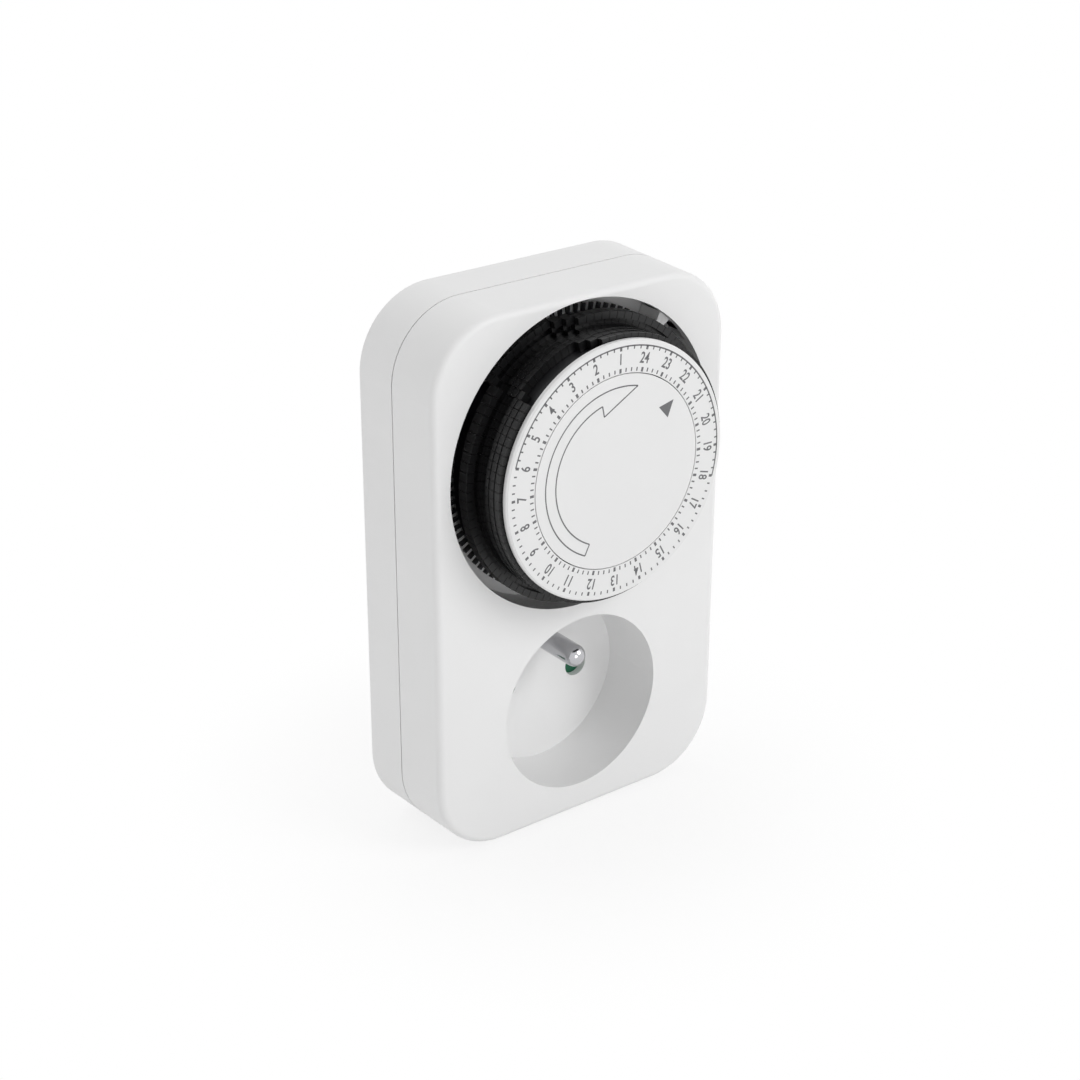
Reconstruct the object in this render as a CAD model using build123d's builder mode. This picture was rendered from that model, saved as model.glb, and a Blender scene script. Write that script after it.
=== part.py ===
from build123d import *
import os
from math import atan2, cos, degrees, hypot, radians, sin, sqrt, tan

# Mechanical 24-hour plug-in timer with a type E socket, in millimetres.
#
# Frame: the origin is the middle of the plug's end face, midway between the two
# plug pins. +Z is up, +X is right as seen from the front, and -Y points out of the
# wall towards the user. A "level" below is the distance from the plug's end face
# towards the user, so a point at level 10 has y = -10.

# ---------------------------------------------------------------- driving sizes
# Case
case_width = 73.0
case_height = 116.5
case_depth = 25.3
case_corner = 15.7
case_flare = 0.67            # how much wider each side is at the rear edge
front_edge_radius = 1.6
rear_edge_bevel = 1.0
seam_from_front = 13.4
seam_gap_width = 0.3
seam_gap_depth = 0.8
wall = 2.0
face_wall = 1.8
recess_side_land = 3.6       # face left beside the dial recess
recess_top_land = 1.25       # face left above the dial recess
socket_web = 3.5             # face left between the dial recess and the socket
socket_foot_land = 6.35      # face left below the socket

# Plug on the rear
plug_radius = 18.8
plug_length = 17.5
plug_end_wall = 3.0
plug_side_wall = 2.5
plug_edge_bevel = 0.9
guide_groove_width = 5.2
guide_groove_depth = 2.4
clip_channel_width = 6.4
clip_channel_depth = 2.4
groove_wall = 1.5
pin_spacing = 19.0
pin_radius = 2.4
pin_length = 19.0
pin_tip_radius = 1.2
pin_root_length = 6.8
pin_collar_length = 2.0
pin_neck_step = 0.3
pin_seat_radius = 5.1
earth_offset = 10.0
earth_seat_radius = 4.8
earth_seat_drop = 2.0        # from the earth strap down to the seat of its sleeve
earth_strap_sink = 1.0       # how far the strap lies behind the case's rear level

# Socket on the front
socket_mouth_radius = 19.8
socket_floor_radius = 19.2
socket_depth = 14.3
socket_floor_wall = 1.6
socket_wall = 2.2
contact_hole_radius = 2.75
earth_pin_radius = 2.4
earth_pin_reach = 14.0
earth_collar_radius = 2.85
earth_shoulder_radius = 3.4
earth_shoulder_height = 1.5
earth_shank_radius = 1.6
earth_entry_radius = 2.6
sleeve_bore_radius = 2.55
sleeve_wall = 0.85
sleeve_end_wall = 1.2
sleeve_slit = 0.6
sleeve_slit_length = 9.0
sleeve_mouth_gap = 0.7       # from the shutter to the sleeves
sheet_thickness = 0.8
strip_width = 4.0
clip_tip_level = 1.5
clip_bulge_rear = 5.5
clip_bulge_front = 10.0
clip_bulge = 0.3

# Child shutter
shutter_thickness = 1.4
shutter_lobe_radius = 3.7
shutter_hub_radius = 3.0
shutter_post_radius = 1.5
shutter_post_end = 1.0

# Dial recess and dial; the radii of what turns follow from the recess
recess_depth = 8.3
recess_floor_wall = 1.5
recess_wall = 1.5
recess_gap = 2.4             # from the recess to the drum's disc and the tappets' feet
dial_proud = 10.5
dial_inset = 3.3             # how far the dial stays inside the tappets' feet
dial_edge_bevel = 0.35
dial_thickness = 1.2
ring_width = 6.7
cap_stem_radius = 2.95
cap_spigot_length = 12.0
hub_post_radius = 5.0
drum_hub_radius = 8.0
drum_wall = 2.0
drum_disc_thickness = 0.8
ring_gear_height = 2.3
notch_width = 1.3
notch_depth = 1.75

# Tappets: the depths are measured inwards from the foot's outer radius
tappet_count = 96
tappet_travel = 4.0
tappet_gap = 0.1
tappet_play = 0.12
tappet_root_depth = 4.38
tappet_neck_depth = 3.4
tappet_head_depth = 2.4
tappet_lip = 1.45
tappet_groove_end = 2.6
tappet_groove_depth = 1.3
tappet_head_height = 4.4
tappet_neck_height = 2.7
tappet_foot_height = 2.6
grip_rib_height = 0.7
grip_rib_depth = 0.15
zero_hour_angle = 15.8       # where the 24 o'clock mark stands, clockwise from the top
pushed_quarters = {6: 1 / 3, 7: 2 / 3, 16: 2 / 3} | dict.fromkeys(range(8, 16), 1.0)

# Gear train: 12:39 from the motor, then 12:48 into the drum's inner ring gear
ring_teeth = 48
ring_module = 0.85
drive_pinion_teeth = 12
wheel_teeth = 39
wheel_module = 0.6
motor_pinion_teeth = 12
gear_addendum = 0.8
gear_dedendum = 1.05
gear_tooth_share = 0.84
gear_flank_lean = 23.0
arbor_direction = 225.0      # from the dial axis, counter-clockwise from +X
arbor_radius = 1.0
ring_gear_rim = 3.6          # from the ring gear's pitch circle to its outside
wheel_hole_count = 5
wheel_hole_radius = 2.2
wheel_hole_circle = 7.6
wheel_thickness = 1.8
gear_side_gap = 0.4

# Motor; its radius follows from the space between the current strips
motor_height = 8.0
motor_sheet = 0.9
motor_shaft_radius = 1.0
motor_side_gap = 9.2
motor_ear_gap = 5.7
motor_ear_width = 7.0
motor_post_radius = 3.0
arbor_lug_radius = 2.5
coil_inner_radius = 9.6
coil_side_gap = 1.6
coil_height = 5.6
rotor_radius = 8.6
rotor_height = 4.8

# Switch in the upper right corner, measured from the dial axis and the recess
feeler_angle = 42.0          # clockwise from the top
feeler_gap = 0.3             # between the drum's disc and the feeler at rest
feeler_width = 3.4
feeler_nose_width = 2.0
feeler_length = 2.2
feeler_wall = 0.8
feeler_back_width = 7.4
feeler_window = (34.0, 56.0)
lever_pivot_angle = 58.0
lever_pivot_outset = 4.1
lever_knee_outset = 3.3
lever_knee_drop = 6.86       # below the top of the recess
lever_boss_radius = 2.2
lever_arm_width = 3.0
lever_pin_radius = 1.0
lever_pin_seat = 6.0
lever_arm_height = 4.0
blade_root_x = 4.0
blade_thickness = 0.3
blade_width = 5.0
blade_stand_off = 4.5        # from the case floor to the blade and the fixed contact
blade_contact_x = 20.0
contact_radius = 1.4
contact_height = 0.5
contact_gap = 0.85
strip_column_inset = 7.3
column_narrowing = 0.6
riser_z = 10.8
upper_row_gap = 2.8
load_row_gap = 9.2
live_row_gap = 2.2
fixed_strip_start = -18.0
fixed_strip_overhang = 2.0
bridge_height = 3.5
rib_width = 2.2
rib_height = 1.6

# Fasteners and running clearances
screw_boss_radius = 3.4
screw_radius = 1.5
screw_head_radius = 2.7
screw_head_height = 1.7
screw_sink = 2.4
screw_bite = 8.0
screw_cross = 0.8
screw_side_inset = 8.0
screw_foot_rise = 8.65
screw_waist_inset = 6.5
screw_waist_z = 13.5
motor_screw_radius = 1.1
motor_screw_head_radius = 2.0
motor_screw_head_height = 1.2
motor_screw_slot = 0.6
motor_screw_reach = 6.0
touch_gap = 0.1
seat_gap = 0.03
running_gap = 0.05
slide_gap = 0.2

# ------------------------------------------------------------------ worked-out places
rear_level = plug_length
front_level = rear_level + case_depth
seam_level = front_level - seam_from_front
inside_level = rear_level + wall
draft = degrees(atan2(case_flare, case_depth))
pin_x = pin_spacing / 2
recess_radius = min(
    case_width / 2 - recess_side_land,
    (case_height - recess_top_land - socket_web - socket_foot_land) / 2 - socket_mouth_radius,
)
case_z = case_height / 2 - socket_foot_land - socket_mouth_radius
dial_z = case_z + case_height / 2 - recess_top_land - recess_radius

socket_floor = front_level - socket_depth
socket_back = socket_floor - socket_floor_wall
recess_floor = front_level - recess_depth
recess_back = recess_floor - recess_floor_wall
dial_top = front_level + dial_proud
dial_under = dial_top - dial_thickness
head_top = dial_under - slide_gap
inner_width = case_width - 2 * wall
inner_height = case_height - 2 * wall
inner_corner = case_corner - wall

foot_radius = recess_radius - recess_gap
dial_radius = foot_radius - dial_inset
ring_inner_radius = dial_radius - ring_width
tappet_root_radius = foot_radius - tappet_root_depth
drum_wall_radius = tappet_root_radius - tappet_play
motor_radius = inner_width / 2 - strip_column_inset - motor_side_gap
motor_ear_reach = inner_width / 2 - strip_column_inset - motor_ear_gap

screw_side_x = case_width / 2 - screw_side_inset
screw_foot_z = case_z - case_height / 2 + screw_foot_rise
screw_waist_x = case_width / 2 - screw_waist_inset
screw_corner = (recess_radius + recess_wall + screw_boss_radius + slide_gap) * sqrt(0.5)
screw_places = [
    (-screw_side_x, screw_foot_z),
    (screw_side_x, screw_foot_z),
    (-screw_waist_x, screw_waist_z),
    (screw_waist_x, screw_waist_z),
    (-screw_corner, dial_z + screw_corner),
]

step_angle = 360 / tappet_count

gear_distance = ring_module * (ring_teeth - drive_pinion_teeth) / 2
arbor_place = (
    gear_distance * cos(radians(arbor_direction)),
    dial_z + gear_distance * sin(radians(arbor_direction)),
)
drive_window_radius = ring_module * (drive_pinion_teeth / 2 + gear_addendum) + 2 * slide_gap
motor_cover_under = inside_level + motor_height
motor_cover_top = motor_cover_under + motor_sheet
wheel_under = motor_cover_top + gear_side_gap
wheel_top = wheel_under + wheel_thickness
ring_gear_under = recess_floor + gear_side_gap
drum_disc_under = ring_gear_under + ring_gear_height
drum_disc_top = drum_disc_under + drum_disc_thickness


def level(height):
    """Plane parallel to the wall; x is +X, y is +Z, and extrusions go to the user."""
    return Plane.XZ.offset(height)


def around(x, z):
    """Plane for profiles of radius and level, turned about the line x, z."""
    return Plane(origin=(x, 0, z), x_dir=(1, 0, 0), z_dir=(0, 0, -1))


def axis_at(x, z):
    """Line through x, z that points at the user."""
    return Axis((x, 0, z), (0, -1, 0))


def on_dial(radius, angle):
    """x, z of a point given clockwise from the top of the dial."""
    return (radius * sin(radians(angle)), dial_z + radius * cos(radians(angle)))


def case_outline(width_at, height_at, corner):
    with Locations((0, case_z)):
        RectangleRounded(width_at, height_at, corner)


def tooth_points(place, teeth, module, first_angle, inward=False):
    """Outline corners of a straight-flanked gear about place, one tooth at first_angle."""
    side = -1 if inward else 1
    pitch = module * teeth / 2
    tip = pitch + side * gear_addendum * module
    root = pitch - side * gear_dedendum * module
    half = 90 / teeth * gear_tooth_share
    lean = tan(radians(gear_flank_lean))
    tip_cut = degrees(gear_addendum * module * lean / pitch)
    root_add = degrees(gear_dedendum * module * lean / pitch)
    corners = []
    for tooth in range(teeth):
        middle = first_angle + tooth * 360 / teeth
        for radius, turn in (
            (root, -half - root_add),
            (tip, -half + tip_cut),
            (tip, half - tip_cut),
            (root, half + root_add),
        ):
            angle = radians(middle + turn)
            corners.append((place[0] + radius * cos(angle), place[1] + radius * sin(angle)))
    return corners


def lever_arm_corners(start, end, start_width, end_width):
    """Corners of a straight or tapering bar between two points."""
    run = hypot(end[0] - start[0], end[1] - start[1])
    across_x = -(end[1] - start[1]) / run / 2
    across_z = (end[0] - start[0]) / run / 2
    return [
        (start[0] + across_x * start_width, start[1] + across_z * start_width),
        (end[0] + across_x * end_width, end[1] + across_z * end_width),
        (end[0] - across_x * end_width, end[1] - across_z * end_width),
        (start[0] - across_x * start_width, start[1] - across_z * start_width),
    ]


os.makedirs("parts", exist_ok=True)

# ------------------------------------------------------------- places that pieces share
seam_flare = 2 * case_flare * seam_from_front / case_depth
lever_pivot = on_dial(recess_radius + lever_pivot_outset, lever_pivot_angle)
knee_radius = recess_radius + lever_knee_outset
knee_rise = recess_radius - lever_knee_drop
lever_knee = (sqrt(knee_radius**2 - knee_rise**2), dial_z + knee_rise)
lever_front = front_level - face_wall - 2 * slide_gap
lever_rear = lever_front - lever_arm_height
lever_post_top = seam_level - 2 * slide_gap
finger_radius = lever_arm_width / 2
blade_rear = inside_level + blade_stand_off
blade_under = lever_knee[1] + finger_radius + touch_gap
blade_top = blade_under + blade_thickness
blade_tab_under = blade_top + touch_gap
fixed_strip_under = blade_top + 2 * contact_height + contact_gap
strip_top = inside_level + sheet_thickness
live_row_z = socket_mouth_radius + live_row_gap
column_x = inner_width / 2 - strip_column_inset
column_width = strip_width - column_narrowing
upper_row_z = dial_z + motor_radius + upper_row_gap
load_row_z = dial_z - motor_radius - load_row_gap
bridge_level = inside_level + bridge_height

pin_root_top = pin_root_length - sheet_thickness
sleeve_foot = pin_root_length + sleeve_end_wall
sleeve_radius = sleeve_bore_radius + sleeve_wall
shutter_front = socket_back - slide_gap
shutter_rear = shutter_front - shutter_thickness
shutter_post_length = shutter_thickness + 3 * slide_gap + shutter_post_end
sleeve_top = shutter_rear - sleeve_mouth_gap
plug_inner_radius = plug_radius - plug_side_wall
strap_under = rear_level - earth_strap_sink
motor_posts = [(-motor_ear_reach, dial_z), (motor_ear_reach, dial_z)]

# ---------------------------------------------------------------------- front shell
with BuildPart() as front_shell:
    with BuildSketch(level(seam_level)):
        case_outline(
            case_width + seam_flare, case_height + seam_flare, case_corner + seam_flare / 2
        )
    extrude(amount=seam_from_front, taper=draft)
    fillet(front_shell.edges().group_by(Axis.Y)[0], front_edge_radius)

    # hollow behind the face, left solid where the two cups stand
    with BuildSketch(level(seam_level)):
        case_outline(inner_width, inner_height, inner_corner)
        with Locations((0, 0)):
            Circle(socket_mouth_radius + socket_wall, mode=Mode.SUBTRACT)
    extrude(amount=recess_back - seam_level, mode=Mode.SUBTRACT)
    with BuildSketch(level(recess_back)):
        case_outline(inner_width, inner_height, inner_corner)
        with Locations((0, 0)):
            Circle(socket_mouth_radius + socket_wall, mode=Mode.SUBTRACT)
        with Locations((0, dial_z)):
            Circle(recess_radius + recess_wall, mode=Mode.SUBTRACT)
    extrude(amount=front_level - face_wall - recess_back, mode=Mode.SUBTRACT)

    # socket cup, which reaches back past the seam
    with BuildSketch(level(socket_back)):
        Circle(socket_mouth_radius + socket_wall)
    extrude(amount=seam_level - socket_back)
    with BuildSketch(level(socket_floor)):
        Circle(socket_floor_radius)
    extrude(
        amount=socket_depth,
        taper=-degrees(atan2(socket_mouth_radius - socket_floor_radius, socket_depth)),
        mode=Mode.SUBTRACT,
    )
    with BuildSketch(level(socket_back)):
        with Locations((-pin_x, 0), (pin_x, 0)):
            Circle(contact_hole_radius)
        with Locations((0, earth_offset)):
            Circle(earth_collar_radius + seat_gap)
    extrude(amount=socket_floor_wall, mode=Mode.SUBTRACT)

    # dial recess with its hub post and the window for the drive pinion
    with BuildSketch(level(recess_floor)):
        with Locations((0, dial_z)):
            Circle(recess_radius)
    extrude(amount=recess_depth, mode=Mode.SUBTRACT)
    with BuildSketch(level(recess_back)):
        with Locations((0, dial_z)):
            Circle(hub_post_radius)
    extrude(amount=dial_under - recess_back)
    with BuildSketch(level(dial_under - cap_spigot_length)):
        with Locations((0, dial_z)):
            Circle(cap_stem_radius + seat_gap)
    extrude(amount=cap_spigot_length, mode=Mode.SUBTRACT)

    # post for the child shutter, behind the socket floor
    with BuildSketch(level(socket_back)):
        Circle(shutter_post_radius)
    extrude(amount=-shutter_post_length)

    # screw bosses
    with BuildSketch(level(seam_level)):
        with Locations(*screw_places):
            Circle(screw_boss_radius)
        with Locations((0, case_z)):
            RectangleRounded(inner_width, inner_height, inner_corner, mode=Mode.INTERSECT)
    extrude(amount=front_level - face_wall - seam_level)
    with BuildSketch(level(seam_level)):
        with Locations(*screw_places):
            Circle(screw_radius + seat_gap)
    extrude(amount=screw_bite, mode=Mode.SUBTRACT)

    # window for the drive pinion, and the one the switch feeler looks through
    with BuildSketch(level(recess_back)):
        with Locations(arbor_place):
            Circle(drive_window_radius)
    extrude(amount=recess_floor_wall, mode=Mode.SUBTRACT)
    with BuildSketch(level(recess_floor)):
        with BuildLine():
            Polyline(
                on_dial(recess_radius - recess_wall, feeler_window[0]),
                on_dial(recess_radius + 2 * recess_wall, feeler_window[0]),
                on_dial(recess_radius + 2 * recess_wall, feeler_window[1]),
                on_dial(recess_radius - recess_wall, feeler_window[1]),
                close=True,
            )
        make_face()
    extrude(amount=front_level - face_wall - recess_floor, mode=Mode.SUBTRACT)

front_shell.part.label = "front_shell"
export_step(front_shell.part, "parts/front_shell.step")

# ----------------------------------------------------------------------- rear shell
with BuildPart() as rear_shell:
    with BuildSketch(level(rear_level)):
        case_outline(
            case_width + 2 * case_flare, case_height + 2 * case_flare, case_corner + case_flare
        )
    extrude(amount=seam_level - rear_level, taper=draft)
    chamfer(rear_shell.edges().group_by(Axis.Y)[-1], rear_edge_bevel)
    with BuildSketch(level(inside_level)):
        case_outline(inner_width, inner_height, inner_corner)
    extrude(amount=seam_level - inside_level, mode=Mode.SUBTRACT)

    # shadow gap along the seam
    with BuildSketch(level(seam_level - seam_gap_width)):
        case_outline(
            case_width + 2 * case_flare, case_height + 2 * case_flare, case_corner + case_flare
        )
        with Locations((0, case_z)):
            RectangleRounded(
                case_width + seam_flare - 2 * seam_gap_depth,
                case_height + seam_flare - 2 * seam_gap_depth,
                case_corner + seam_flare / 2 - seam_gap_depth,
                mode=Mode.SUBTRACT,
            )
    extrude(amount=seam_gap_width, mode=Mode.SUBTRACT)

    # round plug body, hollow from inside
    with BuildSketch(level(0)):
        Circle(plug_radius)
    extrude(amount=rear_level)
    chamfer(rear_shell.edges().group_by(Axis.Y)[-1], plug_edge_bevel)
    with BuildSketch(level(plug_end_wall)):
        Circle(plug_inner_radius)
        with Locations((-plug_radius, 0), (plug_radius, 0)):
            Rectangle(
                2 * (guide_groove_depth + groove_wall),
                guide_groove_width + 2 * groove_wall,
                mode=Mode.SUBTRACT,
            )
        with Locations((0, -plug_radius), (0, plug_radius)):
            Rectangle(
                clip_channel_width + 2 * groove_wall,
                2 * (clip_channel_depth + groove_wall),
                mode=Mode.SUBTRACT,
            )
    extrude(amount=inside_level - plug_end_wall, mode=Mode.SUBTRACT)

    # guide grooves at the sides, channels for the earth clips above and below
    with BuildSketch(level(0)):
        with Locations((-plug_radius, 0), (plug_radius, 0)):
            Rectangle(2 * guide_groove_depth, guide_groove_width)
        with Locations((0, -plug_radius), (0, plug_radius)):
            Rectangle(clip_channel_width, 2 * clip_channel_depth)
    extrude(amount=rear_level, mode=Mode.SUBTRACT)
    with BuildSketch(level(strap_under - slide_gap)):
        Rectangle(strip_width + 4 * slide_gap, 2 * plug_radius)
    extrude(amount=rear_level - strap_under + slide_gap, mode=Mode.SUBTRACT)

    # seats for the pins, the contact sleeves and the earth sleeve
    with BuildSketch(level(plug_end_wall)):
        with Locations((-pin_x, 0), (pin_x, 0)):
            Circle(pin_seat_radius)
    extrude(amount=inside_level - plug_end_wall)
    with BuildSketch(level(plug_end_wall)):
        with Locations((0, earth_offset)):
            Circle(earth_seat_radius)
    extrude(amount=strap_under - earth_seat_drop - plug_end_wall)
    with BuildSketch(level(0)):
        with Locations((-pin_x, 0), (pin_x, 0)):
            Circle(pin_radius - pin_neck_step + seat_gap)
        with Locations((0, earth_offset)):
            Circle(earth_entry_radius)
    extrude(amount=plug_end_wall, mode=Mode.SUBTRACT)
    with BuildSketch(level(plug_end_wall)):
        with Locations((-pin_x, 0), (pin_x, 0), (0, earth_offset)):
            Circle(sleeve_radius + seat_gap)
    extrude(amount=pin_root_length - plug_end_wall, mode=Mode.SUBTRACT)
    with BuildSketch(level(pin_root_length)):
        with Locations((-pin_x, 0), (0, earth_offset)):
            Circle(sleeve_radius + seat_gap)
    extrude(amount=sleeve_end_wall, mode=Mode.SUBTRACT)
    with BuildSketch(level(sleeve_foot)):
        with Locations((-pin_x, 0), (pin_x, 0), (0, earth_offset)):
            Circle(sleeve_radius + seat_gap)
    extrude(amount=inside_level - sleeve_foot, mode=Mode.SUBTRACT)
    with BuildSketch(level(pin_root_top - seat_gap)):
        with Locations((pin_x, riser_z / 2)):
            Rectangle(strip_width + 2 * seat_gap, riser_z)
    extrude(amount=sheet_thickness + 2 * seat_gap, mode=Mode.SUBTRACT)

    # posts for the case screws, the motor, the lever pin and the contact blade
    with BuildSketch(level(inside_level)):
        with Locations(*screw_places):
            Circle(screw_boss_radius)
        with Locations(lever_pivot):
            Circle(lever_boss_radius)
        with Locations((0, case_z)):
            RectangleRounded(inner_width, inner_height, inner_corner, mode=Mode.INTERSECT)
    extrude(amount=lever_post_top - inside_level)
    with BuildSketch(level(rear_level)):
        with Locations(*screw_places):
            Circle(screw_head_radius + slide_gap)
    extrude(amount=screw_sink, mode=Mode.SUBTRACT)
    with BuildSketch(level(rear_level + screw_sink)):
        with Locations(*screw_places):
            Circle(screw_radius + slide_gap)
    extrude(amount=seam_level - rear_level - screw_sink, mode=Mode.SUBTRACT)
    with BuildSketch(level(lever_post_top - lever_pin_seat)):
        with Locations(lever_pivot):
            Circle(lever_pin_radius + seat_gap)
    extrude(amount=lever_pin_seat, mode=Mode.SUBTRACT)
    with BuildSketch(level(inside_level)):
        with Locations(*motor_posts):
            Circle(motor_post_radius)
    extrude(amount=motor_height)
    with BuildSketch(level(motor_cover_under - motor_screw_reach)):
        with Locations(*motor_posts):
            Circle(motor_screw_radius + seat_gap)
    extrude(amount=motor_screw_reach, mode=Mode.SUBTRACT)
    with BuildSketch(level(inside_level)):
        with Locations((blade_root_x, blade_under - touch_gap - rib_height / 2)):
            Rectangle(rib_width, rib_height)
    extrude(amount=blade_rear + blade_width - inside_level)

rear_shell.part.label = "rear_shell"
export_step(rear_shell.part, "parts/rear_shell.step")

# ---------------------------------------------------------------------- case screws
with BuildPart() as case_screws:
    with BuildSketch(level(rear_level + screw_sink - screw_head_height)):
        with Locations(*screw_places):
            Circle(screw_head_radius)
    extrude(amount=screw_head_height)
    with BuildSketch(level(rear_level + screw_sink)):
        with Locations(*screw_places):
            Circle(screw_radius)
    extrude(amount=seam_level + screw_bite - slide_gap - rear_level - screw_sink)
    with BuildSketch(level(rear_level + screw_sink - screw_head_height)):
        with Locations(*screw_places):
            Rectangle(screw_cross, 1.5 * screw_head_radius)
            Rectangle(1.5 * screw_head_radius, screw_cross)
    extrude(amount=screw_head_height / 2, mode=Mode.SUBTRACT)

case_screws.part.label = "case_screws"
export_step(case_screws.part, "parts/case_screws.step")

# ------------------------------------------------------------------------ plug pins
def plug_pin(x, top):
    """Nickel-plated pin whose grooved root is moulded into the plug's end wall."""
    with BuildPart() as pin:
        with BuildSketch(around(x, 0)):
            with BuildLine():
                Polyline(
                    (0, -pin_length),
                    (pin_radius - pin_tip_radius, -pin_length),
                    (pin_radius, -pin_length + pin_tip_radius),
                    (pin_radius, 0),
                    (pin_radius - pin_neck_step, 0),
                    (pin_radius - pin_neck_step, plug_end_wall),
                    (sleeve_radius, plug_end_wall),
                    (sleeve_radius, plug_end_wall + pin_collar_length),
                    (pin_radius - pin_neck_step, plug_end_wall + pin_collar_length),
                    (pin_radius - pin_neck_step, top),
                    (0, top),
                    close=True,
                )
            make_face()
        revolve(axis=axis_at(x, 0))
    return pin


neutral_pin = plug_pin(-pin_x, sleeve_foot)
neutral_pin.part.label = "neutral_pin"
export_step(neutral_pin.part, "parts/neutral_pin.step")

live_pin = plug_pin(pin_x, pin_root_top)
live_pin.part.label = "live_pin"
export_step(live_pin.part, "parts/live_pin.step")

# ------------------------------------------------------------------ contact sleeves
def contact_sleeve(x):
    """Brass tube, closed at the back and slit at its mouth, that grips a plug's pin."""
    with BuildPart() as sleeve:
        with BuildSketch(level(sleeve_foot)):
            with Locations((x, 0)):
                Circle(sleeve_radius)
        extrude(amount=sleeve_top - sleeve_foot)
        with BuildSketch(level(sleeve_foot + sleeve_end_wall)):
            with Locations((x, 0)):
                Circle(sleeve_bore_radius)
        extrude(amount=sleeve_top - sleeve_foot - sleeve_end_wall, mode=Mode.SUBTRACT)
        with BuildSketch(level(sleeve_top - sleeve_slit_length)):
            with Locations((x, 0)):
                Rectangle(3 * sleeve_radius, sleeve_slit)
        extrude(amount=sleeve_slit_length, mode=Mode.SUBTRACT)
    return sleeve


neutral_sleeve = contact_sleeve(-pin_x)
neutral_sleeve.part.label = "neutral_sleeve"
export_step(neutral_sleeve.part, "parts/neutral_sleeve.step")

live_sleeve = contact_sleeve(pin_x)
live_sleeve.part.label = "live_sleeve"
export_step(live_sleeve.part, "parts/live_sleeve.step")

# ---------------------------------------------------------------------------- earth
with BuildPart() as earth_pin:
    with BuildSketch(around(0, earth_offset)):
        with BuildLine():
            Polyline(
                (0, strap_under),
                (earth_shank_radius, strap_under),
                (earth_shank_radius, socket_back - earth_shoulder_height),
                (earth_shoulder_radius, socket_back - earth_shoulder_height),
                (earth_shoulder_radius, socket_back),
                (earth_collar_radius, socket_back),
                (earth_collar_radius, socket_floor),
                (earth_pin_radius, socket_floor),
                (earth_pin_radius, socket_floor + earth_pin_reach - earth_pin_radius),
            )
            RadiusArc(
                (earth_pin_radius, socket_floor + earth_pin_reach - earth_pin_radius),
                (0, socket_floor + earth_pin_reach),
                -earth_pin_radius,
            )
            Line((0, socket_floor + earth_pin_reach), (0, strap_under))
        make_face()
    revolve(axis=axis_at(0, earth_offset))

earth_pin.part.label = "earth_pin"
export_step(earth_pin.part, "parts/earth_pin.step")

with BuildPart() as earth_sleeve:
    with BuildSketch(level(plug_end_wall)):
        with Locations((0, earth_offset)):
            Circle(sleeve_radius)
            Circle(sleeve_bore_radius, mode=Mode.SUBTRACT)
    extrude(amount=strap_under - plug_end_wall)

earth_sleeve.part.label = "earth_sleeve"
export_step(earth_sleeve.part, "parts/earth_sleeve.step")

# one brass strip: a bar across the plug, and a springy clip in each channel
clip_seat = plug_radius - clip_channel_depth + slide_gap
clip_crest = plug_radius + clip_bulge
side_view = Plane(origin=(0, 0, 0), x_dir=(0, 0, 1), z_dir=(1, 0, 0))
with BuildPart() as earth_strap:
    with BuildSketch(level(strap_under)):
        Rectangle(strip_width, 2 * (clip_seat + sheet_thickness))
        with Locations((0, earth_offset)):
            Circle(sleeve_radius)
            Circle(earth_shank_radius + seat_gap, mode=Mode.SUBTRACT)
    extrude(amount=sheet_thickness)
    with BuildSketch(side_view):
        for side in (-1, 1):
            with BuildLine():
                Polyline(
                    (side * (clip_seat + sheet_thickness), strap_under + sheet_thickness),
                    (side * (clip_seat + sheet_thickness), strap_under - sheet_thickness),
                    (side * clip_crest, clip_bulge_front),
                    (side * clip_crest, clip_bulge_rear),
                    (side * (clip_seat + sheet_thickness), clip_tip_level),
                    (side * clip_seat, clip_tip_level),
                    (side * (clip_crest - sheet_thickness), clip_bulge_rear),
                    (side * (clip_crest - sheet_thickness), clip_bulge_front),
                    (side * clip_seat, strap_under - sheet_thickness),
                    (side * clip_seat, strap_under + sheet_thickness),
                    close=True,
                )
            make_face()
    extrude(amount=strip_width / 2, both=True)

earth_strap.part.label = "earth_strap"
export_step(earth_strap.part, "parts/earth_strap.step")

# -------------------------------------------------------------------- child shutter
with BuildPart() as shutter:
    with BuildSketch(level(shutter_rear)):
        with Locations((-pin_x, 0), (pin_x, 0)):
            Circle(shutter_lobe_radius)
        Rectangle(pin_spacing, shutter_lobe_radius)
        Circle(shutter_hub_radius)
        Circle(shutter_post_radius + running_gap, mode=Mode.SUBTRACT)
    extrude(amount=shutter_thickness)

shutter.part.label = "shutter"
export_step(shutter.part, "parts/shutter.step")

with BuildPart() as shutter_clip:
    with BuildSketch(level(shutter_rear - slide_gap)):
        Circle(shutter_hub_radius - slide_gap)
        Circle(shutter_post_radius + seat_gap, mode=Mode.SUBTRACT)
    extrude(amount=-sheet_thickness)

shutter_clip.part.label = "shutter_clip"
export_step(shutter_clip.part, "parts/shutter_clip.step")

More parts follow.
